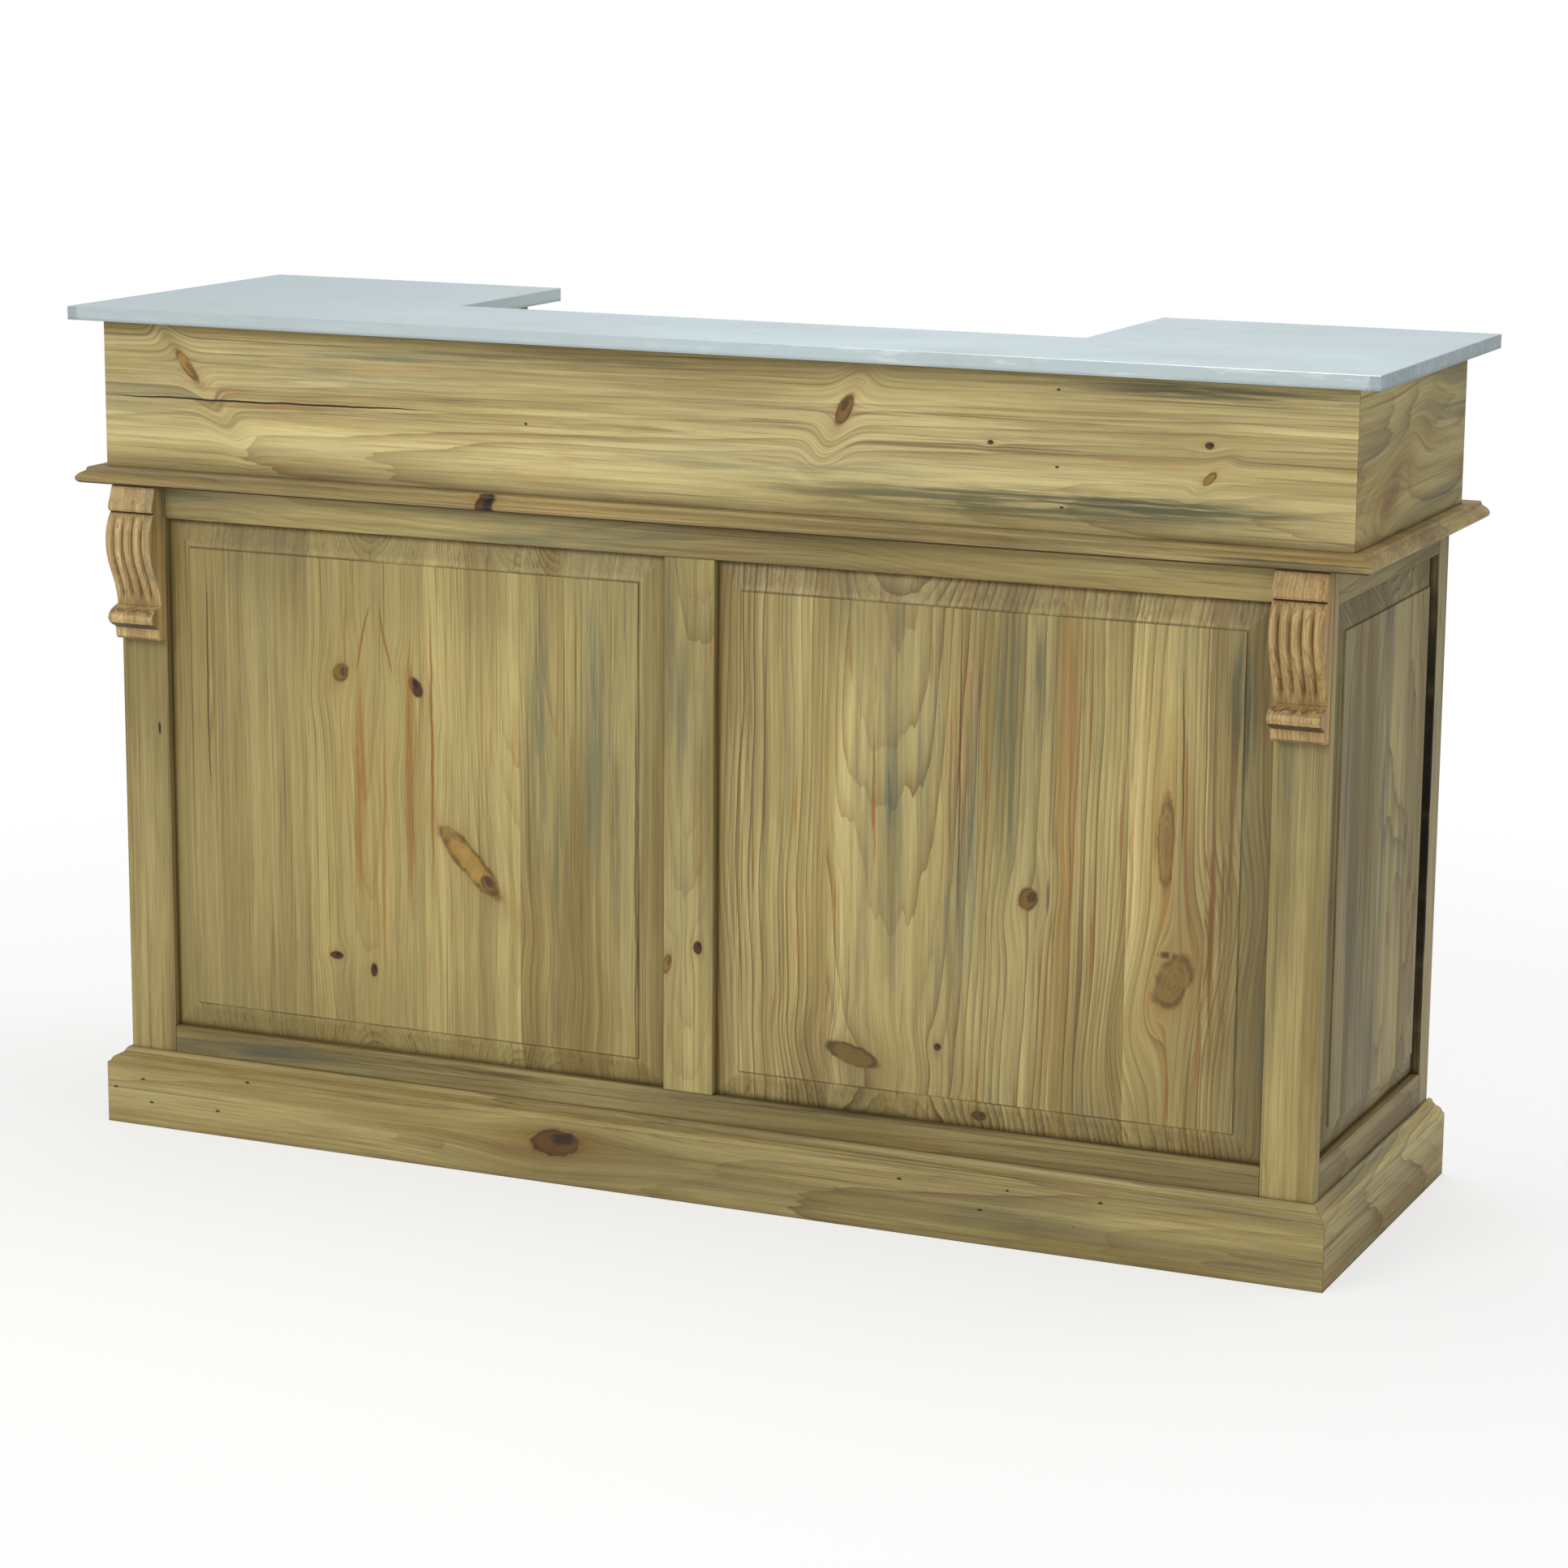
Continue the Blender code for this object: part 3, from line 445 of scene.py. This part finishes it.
def zinc():
    """Rolled zinc sheet, dulled by wiping: satin and cloudy, with fine rolling lines, water marks and
    painted glints on the lip.
    """
    material, add = new_material("zinc_rolled_folded_wiped")
    x, y, z = place = frame_place(add)
    low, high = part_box("zinc_top")
    cloud = figure(add, place, (200, 142.9), 2.0, 5.0, 0.6)
    rolling = figure(add, place, (333.3, 2.381), 4.0, 2.0, 0.6)
    blot = add("MapRange", figure(add, place, (45.45, 33.33), 7.0, 4.0, 0.65), 0.52, 0.72)
    color = add("Mix", add("MapRange", cloud, 0.3, 0.7), srgb("d5e3e4"), srgb("c9d8db"))
    color = add("Mix", add("Math.MULTIPLY", blot, 0.10), color, srgb("94a6ae"))

    # The folded lip: painted bright glints, strongest towards the right, the mitred corner seams, darker
    # ends and lower edge
    lip = add("Math.LESS_THAN", z, high.z - 0.0005)
    glint = add("MapRange", figure(add, place, (62.5, 11.11), 21.0, 3.0, 0.6), 0.5, 0.66)
    # painted highlight: near-white glints on the lip, growing brighter towards the right end
    rubbed = add("Math.MULTIPLY_ADD", add("MapRange", x, -0.1, 0.35), 0.45, 0.12)
    rubbed = add("Math.MULTIPLY", add("Math.MULTIPLY", lip, glint), rubbed)
    color = add("Mix", rubbed, color, srgb("f6fbfb"))
    off_middle = add("Math.ABSOLUTE", x)
    seam_at = add("Math.MULTIPLY_ADD", add("Math.SUBTRACT", z, high.z - 0.010), 0.25, high.x - 0.0145)
    seam = add("Math.ABSOLUTE", add("Math.SUBTRACT", off_middle, seam_at))
    seam = add("Math.MULTIPLY", lip, add("Math.SUBTRACT", 1.0, add("MapRange", seam, 0.0004, 0.0011)))
    color = add("Mix", add("Math.MULTIPLY", seam, 0.3), color, srgb("5f6f76"))
    past_seam = add("MapRange", off_middle, high.x - 0.0135, high.x - 0.0125)
    end = add("Math.MULTIPLY", lip, past_seam)
    color = add("Mix", add("Math.MULTIPLY", end, 0.30), color, srgb("5d6c73"))
    low_edge = add("Math.SUBTRACT", 1.0, add("MapRange", z, low.z + 0.0005, low.z + 0.005))
    color = add("Mix", add("Math.MULTIPLY", low_edge, 0.35), color, srgb("7f929a"))

    rough = add("MapRange", cloud, 0.25, 0.75, 0.30, 0.46, interpolation_type="LINEAR")
    dents = figure(add, place, (111.1, 71.43), 12.0, 2.0)
    height = add("Math.MULTIPLY_ADD", dents, 2.2, add("Math.MULTIPLY", rolling, 0.10))
    fold = add("Math.MULTIPLY", past_seam, add("Math.LESS_THAN", z, high.z - 0.0012))
    height = add("Math.MULTIPLY_ADD", fold, 0.8, height)
    finish_material(add, color, rough, height, 0.35, 0.0012, {"Metallic": 0.75})
    return material


def steel():
    """Blackened and oiled steel, rubbed bright in spots on the high points."""
    material, add = new_material("steel_blackened_oiled")
    coords = add("TexCoord")
    speck = add("TexNoise", {"Vector": coords, "Scale": 240.0, "Detail": 4.0, "Roughness": 0.6})
    cloud = add("TexNoise", {"Vector": coords, "Scale": 60.0, "Detail": 3.0})
    color = add("Mix", add("MapRange", cloud, 0.35, 0.7), srgb("2e2b28"), srgb("4a4540"))
    rubbed = add("Math.MULTIPLY", add("MapRange", speck, 0.6, 0.75), 0.5)
    color = add("Mix", rubbed, color, srgb("6a5a48"))
    rough = add("MapRange", cloud, 0.2, 0.8, 0.38, 0.6, interpolation_type="LINEAR")
    finish_material(add, color, rough, speck, 0.3, 0.0004, {"Metallic": 0.8})
    return material


# The panels' tongue, which sits in the frame's groove, and their bevel, in metres
TONGUE_WIDE = 0.010
TONGUE_THICK = 0.009
BEVEL_WIDE = 0.037
JUST_INSIDE = 0.0002
NOSE_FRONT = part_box("waist_board")[0].y
X_AXIS = 0
Y_AXIS = 1
seeds = itertools.count(17.3, 7.3)


def raised_field(name, across, out, front_tongue=TONGUE_WIDE):
    """The field's limits up and across, and where its show side starts, from the panel's own box."""
    low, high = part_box(name)
    inset = TONGUE_WIDE + BEVEL_WIDE
    back = min(abs(low[out]), abs(high[out]))
    upright = (low.z + inset, high.z - inset)
    sideways = (low[across] + front_tongue + BEVEL_WIDE, high[across] - inset)
    return upright, sideways, (back + TONGUE_THICK - JUST_INSIDE, math.copysign(1.0, low[out]))


def give(name, grain, face, **settings):
    """Dress one board; every board gets its own seed, so no two show the same figure."""
    dress(name, pine("pine_" + name, grain, face, next(seeds), **settings))


# The boards. A knot is its place along and across the grain, its half length and half width, its turn,
# how far it pushes the rings aside and how dark it is. A mark is its place, half length, half width,
# slope, colour and strength. Places are metres in the frame, measured on the photographed counter.
give("frieze_front", "X", "Y", tone=1.03, wave=0.35, reach=0.024, light="d8c98e", mid="b3a067",
     pith=(0.93, 0.10), pitch=0.0050, rings=0.4, red=0.3, stain=0.45,
     knots=[
         (-0.738, 1.046, 0.026, 0.007, -0.9, 1.2, 0.45),
         (0.209, 1.039, 0.021, 0.009, 1.1, 1.4, 0.6),
         (0.403, 1.010, 0.004, 0.003, 0.0, 0.8, 0.9),
         (0.683, 1.022, 0.006, 0.0045, 0.0, 1.0, 0.8),
         (0.684, 0.982, 0.010, 0.005, 0.8, 1.2, 0.25)],
     marks=[
         (-0.62, 1.003, 0.27, 0.0016, 0.008, "23190d", 1.0),
         (-0.62, 0.998, 0.20, 0.0060, 0.008, "8a6632", 0.7),
         (-0.70, 1.020, 0.08, 0.0075, -0.05, "a5773c", 0.6),
         (-0.093, 0.997, 0.14, 0.007, -0.02, "74562c", 0.6),
         (0.10, 1.017, 0.07, 0.005, 0.03, "7a4a26", 0.7),
         (-0.45, 1.07, 0.35, 0.006, 0.0, "6d7263", 0.5),
         (0.46, 0.937, 0.46, 0.028, 0.0, "59583b", 0.85),
         (0.62, 0.944, 0.24, 0.015, 0.0, "4f5136", 0.7),
         (0.10, 0.962, 0.30, 0.010, 0.01, "6b6a4c", 0.5),
         # the next two grey-green bands along the frieze's top are painted shadow of the zinc lip
         (0.70, 1.084, 0.24, 0.016, -0.02, "4f5038", 0.85),
         (-0.2, 1.080, 0.34, 0.010, 0.0, "666848", 0.6),
         (0.49, 1.079, 0.003, 0.0016, 0.0, "20180e", 0.95),
         (0.49, 0.985, 0.003, 0.0016, 0.0, "20180e", 0.95),
         (0.497, 0.936, 0.003, 0.0016, 0.0, "20180e", 0.95)])
give("waist_board", "X", "Z", pith=(0.1, 0.2), rings=0.4, red=0.45, stain=0.4, light="bca569", mid="9c854e",
     groove=0.005,
     knots=[(-0.278, NOSE_FRONT, 0.013, 0.02, 0.0, 1.0, 0.9)],
     marks=[
         (0.80, NOSE_FRONT, 0.13, 0.0034, 0.0, "2e2c1c", 0.65),
         (0.35, NOSE_FRONT, 0.35, 0.012, 0.0, "5a5232", 0.5)])
PLINTH_NAIL_HOLES = ((-0.855, 0.05), (-0.811, 0.065), (-0.798, 0.034), (-0.693, 0.035),
                     (-0.645, 0.08), (0.31, 0.07), (0.42, 0.045), (0.58, 0.075))
give("plinth_front", "X", "Y", tone=0.82, groove=0.005, pith=(0.02, 0.12), pitch=0.006, rings=0.4, red=0.35,
     stain=0.35, wave=0.7, wax=0.7,
     knots=[(-0.177, 0.056, 0.038, 0.018, 0.1, 2.0, 0.72)],
     marks=[(x, z, 0.004, 0.002, 0.0, "2a2014", 0.9) for x, z in PLINTH_NAIL_HOLES])
give("front_top_rail", "X", "Y", pith=(0.9, 0.14), rings=0.35, red=0.3, stain=0.8, tone=0.88, wax=0.7)
give("front_bottom_rail", "X", "Y", pith=(0.05, 0.1), rings=0.45, red=0.7, stain=0.95, tone=0.63, wax=0.75,
     marks=[
         (-0.45, 0.150, 0.30, 0.008, 0.0, "4d5648", 0.8),
         (-0.30, 0.128, 0.40, 0.006, 0.0, "4a3a20", 0.8),
         (0.25, 0.140, 0.35, 0.007, 0.01, "4f4526", 0.7),
         (0.55, 0.150, 0.20, 0.006, 0.0, "505a4a", 0.8)])
give("front_muntin", "Z", "Y", tone=0.88, wax=0.6, pith=(0.0, 0.09), slope=0.05, rings=0.4, stain=0.8,
     knots=[
         (0.334, 0.014, 0.009, 0.0065, 0.0, 1.4, 0.85),
         (0.308, -0.030, 0.013, 0.006, 0.3, 1.4, 0.5)])
give("front_panel_left", "Z", "Y", pith=(-0.46, 0.16), pitch=0.0032, rings=0.5, red=0.4, stain=0.3,
     even=(-0.42, -0.24), light="cbbb7a", mid="a08b4f", tone=0.96, wave=0.35, wax=0.55,
     staves=([-0.56, -0.385, -0.245, -0.19], [0.50, 0.60, 0.66, 0.54, 0.46]),
     field=raised_field("front_panel_left", X_AXIS, Y_AXIS),
     knots=[
         (0.652, -0.509, 0.014, 0.011, 0.5, 1.0, 0.6),
         (0.641, -0.396, 0.015, 0.009, -0.6, 0.8, 0.85),
         (0.415, -0.318, 0.060, 0.016, -0.78, 0.2, 0.30),
         (0.385, -0.288, 0.018, 0.009, -0.78, 0.0, 0.62),
         (0.266, -0.520, 0.005, 0.010, 0.0, 0.8, 0.9),
         (0.251, -0.463, 0.009, 0.005, 0.0, 1.2, 0.85)],
     marks=[
         (0.60, -0.215, 0.30, 0.020, 0.0, "6a6a4c", 0.60),
         (0.36, -0.185, 0.26, 0.016, 0.02, "706f50", 0.60),
         (0.60, -0.135, 0.26, 0.018, 0.01, "6b6f55", 0.7),
         (0.55, -0.105, 0.30, 0.014, 0.0, "5e5435", 0.6),
         (0.56, -0.372, 0.24, 0.0030, 0.0, "8f5f22", 0.9),
         (0.42, -0.445, 0.24, 0.0034, 0.01, "9a702f", 0.7),
         (0.70, -0.474, 0.05, 0.0022, 0.22, "8f6426", 0.8),
         (0.70, -0.440, 0.05, 0.0022, -0.22, "8f6426", 0.8),
         (0.50, -0.480, 0.22, 0.0110, 0.0, "9a6f2c", 0.9),
         (0.53, -0.405, 0.24, 0.0110, -0.01, "956628", 0.9),
         (0.32, -0.458, 0.09, 0.0065, 0.0, "9c7032", 0.6),
         (0.70, -0.500, 0.06, 0.0020, 0.02, "8e6732", 0.6),
         (0.40, -0.075, 0.30, 0.0020, 0.0, "3d3420", 0.7),
         (0.62, -0.712, 0.16, 0.0016, 0.0, "4f3a1e", 0.8),
         (0.58, -0.705, 0.05, 0.0040, 0.12, "9c6a35", 0.7)])
give("front_panel_right", "Z", "Y", wax=0.55, pith=(0.25, 0.10), slope=0.05, pitch=0.0072, rings=0.85,
     red=0.8, stain=0.6,
     staves=([0.193, 0.395, 0.494, 0.592, 0.69], [0.52, 0.60, 0.46, 0.56, 0.76, 0.44]),
     field=raised_field("front_panel_right", X_AXIS, Y_AXIS),
     knots=[
         (0.445, 0.465, 0.015, 0.012, 0.4, 1.1, 0.62),
         (0.360, 0.656, 0.036, 0.021, 0.45, 1.7, 0.12),
         (0.535, 0.643, 0.062, 0.010, 0.0, 1.2, 0.09),
         (0.241, 0.347, 0.005, 0.005, 0.0, 1.4, 0.9),
         (0.217, 0.232, 0.012, 0.036, 0.25, 0.6, 0.2),
         (0.156, 0.402, 0.007, 0.010, 0.0, 1.0, 0.95)],
     marks=[
         (0.60, 0.372, 0.22, 0.0011, 0.0, "5a3f22", 0.8),
         (0.64, 0.435, 0.24, 0.026, 0.0, "65694e", 0.75),
         (0.72, 0.478, 0.10, 0.016, 0.0, "575b42", 0.7),
         (0.71, 0.735, 0.12, 0.024, 0.0, "4b5442", 0.9),
         (0.56, 0.278, 0.05, 0.003, -0.05, "55645a", 0.7),
         (0.45, 0.492, 0.03, 0.003, 0.0, "4f4a3a", 0.7),
         (0.64, 0.662, 0.12, 0.0014, -0.02, "5f4722", 0.8),
         (0.393, 0.650, 0.006, 0.018, 0.0, "3a220f", 0.8),
         (0.56, 0.600, 0.24, 0.0036, 0.0, "8f5a26", 0.7),
         (0.30, 0.690, 0.12, 0.0034, 0.03, "8a5626", 0.7),
         (0.42, 0.705, 0.22, 0.0060, 0.0, "7d5223", 0.95),
         (0.50, 0.722, 0.32, 0.0120, 0.0, "6f4a1f", 0.85),
         (0.66, 0.520, 0.14, 0.0040, 0.0, "9a6a34", 0.6),
         (0.24, 0.300, 0.10, 0.0040, 0.02, "9a6a34", 0.6)])
for hand, side in (("left", -1), ("right", 1)):
    nail_hole = (0.553, -0.789, 0.010, 0.0022, 0.0, "181008", 0.95)
    give("front_stile_" + hand, "Z", "Y", tone=0.76 if side < 0 else 0.88, pith=(side * 0.81, 0.12),
         pitch=0.005, rings=0.4, red=0.3, stain=0.3, wave=0.6, wax=0.65,
         marks=[nail_hole] if side < 0 else ())
    give("side_top_rail_" + hand, "Y", "X", tone=0.72, light="cdbb76", mid="948042", red=0.5, stain=0.7,
         rings=0.7, pitch=0.0055)
    give("side_bottom_rail_" + hand, "Y", "X", tone=0.66, light="cdb570", mid="8c7038", red=0.8, stain=0.5,
         rings=0.6)
    stile_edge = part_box("side_rear_stile_" + hand)[0].y
    # the near-black line down the stile's front edge is painted shadow of the gap where the side panel has
    # shrunk
    give("side_rear_stile_" + hand, "Z", "X", tone=0.74, red=0.5, stain=0.6, wax=1.1,
         marks=[(0.50, stile_edge, 0.46, 0.0034, 0.0, "120d08", 1.0)])
    give("side_panel_" + hand, "Z", "X", pith=(0.0, 0.2), pitch=0.0036, rings=0.6, stain=0.55,
         tone=0.77, wax=0.8, light="cdbb76", mid="948042",
         staves=([-0.15, -0.02, 0.10], [0.50, 0.40, 0.62, 0.48]),
         field=raised_field("side_panel_" + hand, Y_AXIS, X_AXIS, front_tongue=0.0),
         knots=[(0.40, 0.135, 0.026, 0.006, 0.0, 0.8, 0.25)],
         marks=[
             (0.62, -0.165, 0.16, 0.008, 0.0, "3f4130", 0.8),
             (0.50, 0.00, 0.30, 0.012, 0.0, "555d4a", 0.7),
             (0.45, -0.09, 0.05, 0.0034, 0.0, "3c3f31", 0.9),
             (0.62, 0.12, 0.10, 0.006, 0.0, "7a4e2e", 0.7)])
    give("frieze_side_" + hand, "Y", "X", pith=(1.0, 0.055), slope=0.05, pitch=0.0052, rings=0.9, red=0.4,
         stain=0.55, tone=0.94, light="d0bf78", mid="a38f50",
         knots=[(-0.10, 0.955, 0.045, 0.020, 0.5, 4.0, 0.0)])
    give("plinth_side_" + hand, "Y", "X", pith=(0.05, 0.07), slope=0.04, pitch=0.006, rings=0.6, red=0.4,
         stain=0.5)
    corbel_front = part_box("corbel_" + hand)[0].y
    # painted shade on the lower front of the roll and the sides beside it, out of the light from above
    painted_shade_under_roll = (0.7210, corbel_front, 0.0115, 0.024, 0.0, "2f1c16", 0.95)
    give("corbel_" + hand, "Z", "X", pith=(0.02, 0.05), pitch=0.0050, red=0.5, stain=0.4, rings=0.45,
         light="d2b57c", mid="a8864f", wax=0.9, reach=0.012, groove=0.0045, tone=1.05, marks=[painted_shade_under_roll])
    give("top_board_" + hand, "Y", "Z")
    give("frieze_inner_" + hand, "Y", "X", light="cbb684", mid="b9a36c", stain=0.3)
    give("partition_" + hand, "Z", "X", light="cbb684", mid="b9a36c", stain=0.3)
    give("cupboard_shelf_" + hand, "X", "Z", light="cbb684", mid="b9a36c", stain=0.3)
    give("rear_stile_" + hand, "Z", "Y")
    give("door_frame_" + hand, "Z", "Y", stain=0.4)
    give("door_panel_" + hand, "Z", "Y", pitch=0.005)
    give("drawer_front_" + hand, "X", "Y", pitch=0.006, rings=0.6)
    give("drawer_box_" + hand, "Y", "X", light="d2bf90", mid="c2ad78", stain=0.15)
give("top_board_front", "X", "Z")
give("frieze_back", "X", "Y", light="cbb684", mid="b9a36c", stain=0.3)
give("bottom_board", "X", "Z", light="bfa96c", mid="a38d54", stain=0.4)
give("rear_top_rail", "X", "Y")
give("rear_bottom_rail", "X", "Y", stain=0.6)

dress("zinc_top", zinc())
blackened = steel()
for hand in ("left", "right"):
    for part in ("door_knob_", "drawer_knob_", "door_leaf_lower_", "door_leaf_upper_",
                 "case_leaf_lower_", "case_leaf_upper_"):
        dress(part + hand, blackened)

# Slotted screw heads on the hinge leaves
SCREW_RADIUS = 0.0030
SCREW_STEPS = 8
# Radius share and height of the head's foot, its edge and its flat, in metres
SCREW_LEVELS = ((1.0, 0.0), (1.0, 0.0002), (0.86, 0.00055))
# Each half of the head spans this much of its half turn; what is left is the slot
SLOT_FROM = 12
HALF_SPAN = 156


def screw(name, x, y, z, turn, body):
    """Slotted countersunk screw head, standing on the leaf that faces +Y."""
    verts = []
    faces = []
    for half in (0, 1):
        rim = []
        for k in range(SCREW_STEPS + 1):
            angle = math.radians(SLOT_FROM + HALF_SPAN * k / SCREW_STEPS) + math.pi * half
            rim.append((SCREW_RADIUS * math.cos(angle), SCREW_RADIUS * math.sin(angle)))
        start = len(verts)
        for share, lift in SCREW_LEVELS:
            for u, v in rim:
                turned_u = share * (u * math.cos(turn) - v * math.sin(turn))
                turned_v = share * (u * math.sin(turn) + v * math.cos(turn))
                verts.append((turned_u, lift, turned_v))
        count = len(rim)
        for level in (0, 1):
            for k in range(count):
                j = (k + 1) % count
                q = start + level * count
                faces.append((q + k, q + count + k, q + count + j, q + j))
        faces.append(tuple(start + 2 * count + k for k in range(count)))
    mesh = bpy.data.meshes.new(name)
    mesh.from_pydata(verts, [], faces)
    mesh.materials.append(blackened)
    head = bpy.data.objects.new(name, mesh)
    head.location = (x, y, z)
    bpy.context.scene.collection.objects.link(head)
    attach(head, body)


LEAF_EDGE_TO_SCREW = 0.012
LEAF_THICK = 0.0015
for hand, side in (("left", -1), ("right", 1)):
    for level in ("lower", "upper"):
        for part, toward, body in (("door", -side, hand + "_door"), ("case", side, "cabinet")):
            low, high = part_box(part + "_leaf_" + level + "_" + hand)
            flat_x = low.x + LEAF_EDGE_TO_SCREW if toward < 0 else high.x - LEAF_EDGE_TO_SCREW
            for k, share in enumerate((0.22, 0.78)):
                screw("screw_%s_%s_%s_%d" % (part, level, hand, k), flat_x, low.y + LEAF_THICK,
                      low.z + share * (high.z - low.z), 0.5 + 1.3 * k + side, body)

# Pale studio floor: the camera sees it white, fading out from round the counter, with the shadow kept
FLOOR_HALF = 9
corners = [(-FLOOR_HALF, -FLOOR_HALF, 0), (FLOOR_HALF, -FLOOR_HALF, 0), (FLOOR_HALF, FLOOR_HALF, 0),
           (-FLOOR_HALF, FLOOR_HALF, 0)]
floor_mesh = bpy.data.meshes.new("floor")
floor_mesh.from_pydata(corners, [], [(0, 1, 2, 3)])
floor = bpy.data.objects.new("floor", floor_mesh)
bpy.context.scene.collection.objects.link(floor)
floor_paint, add = new_material("studio_floor_pale")
bare = add("BsdfDiffuse", {"Color": srgb("f2f2f0")})
lit = add("Emission", {"Color": srgb("ffffff"), "Strength": 1.0})
far = add("MapRange", add("VectorMath.LENGTH", add("TexCoord"), out="Value"), 1.1, 2.6)
share = add("Math.MULTIPLY_ADD", far, 0.35, 0.65)
share = add("Math.MULTIPLY", add("LightPath", out="Is Camera Ray"), share)
add("OutputMaterial", add("MixShader", share, bare, lit))
floor_mesh.materials.append(floor_paint)

# Soft even light from all round, and a white background
studio = bpy.data.worlds.new("studio")
bpy.context.scene.world = studio
studio.use_nodes = True
studio.node_tree.nodes.clear()
add = functools.partial(put, studio.node_tree)
ambient = add("Background", {"Color": (0.97, 0.98, 1.0, 1.0), "Strength": 0.50})
white = add("Background", {"Color": (1.0, 1.0, 1.0, 1.0), "Strength": 1.0})
add("OutputWorld", add("MixShader", add("LightPath", out="Is Camera Ray"), ambient, white))


def lamp(name, place, aim, size, energy, color):
    """Rectangular softbox, in metres and watts, pointed at aim."""
    data = bpy.data.lights.new(name, "AREA")
    data.shape = "RECTANGLE"
    data.size, data.size_y = size
    data.energy = energy
    data.color = color
    softbox = bpy.data.objects.new(name, data)
    softbox.location = place
    aimed = mathutils.Vector(aim) - mathutils.Vector(place)
    softbox.rotation_euler = aimed.to_track_quat("-Z", "Y").to_euler()
    bpy.context.scene.collection.objects.link(softbox)


WARM_WHITE = (1.0, 0.98, 0.94)
COOL_WHITE = (0.96, 0.98, 1.0)
lamp("key", (-1.6, -4.2, 3.4), (0.0, 0.0, 0.7), (2.6, 2.0), 96, WARM_WHITE)
lamp("overhead", (0.2, 0.6, 3.6), (0.0, 0.0, 1.0), (3.0, 2.2), 74, COOL_WHITE)
lamp("fill", (3.8, -1.2, 1.8), (0.4, 0.0, 0.6), (2.0, 2.0), 7, WARM_WHITE)

# Camera solved from the counter's straight edges, its place taken from the middle of the top's front edge
TOP_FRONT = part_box("zinc_top")[0].y
CAMERA_X = 2.24536
CAMERA_BEFORE_TOP = 4.75136
CAMERA_Z = 1.6546
YAW = 0.41598
PITCH = -0.20638
ROLL = 0.00787
SENSOR_MM = 36.0
PHOTO_PIXELS = 1932.0
FOCAL_PIXELS = 5200.2
level_right = mathutils.Vector((math.cos(YAW), math.sin(YAW), 0.0))
level_ahead = mathutils.Vector((-math.sin(YAW), math.cos(YAW), 0.0))
ahead = level_ahead * math.cos(PITCH) + mathutils.Vector((0.0, 0.0, math.sin(PITCH)))
level_up = level_right.cross(ahead)
right = level_right * math.cos(ROLL) + level_up * math.sin(ROLL)
up = level_up * math.cos(ROLL) - level_right * math.sin(ROLL)
camera_data = bpy.data.cameras.new("camera")
camera_data.sensor_width = SENSOR_MM
camera_data.lens = FOCAL_PIXELS * SENSOR_MM / PHOTO_PIXELS
camera = bpy.data.objects.new("camera", camera_data)
stand = mathutils.Matrix.Translation((CAMERA_X, TOP_FRONT - CAMERA_BEFORE_TOP, CAMERA_Z))
camera.matrix_world = stand @ mathutils.Matrix((right, up, -ahead)).transposed().to_4x4()
bpy.context.scene.collection.objects.link(camera)
bpy.context.scene.camera = camera
bpy.context.scene.view_settings.view_transform = "Standard"
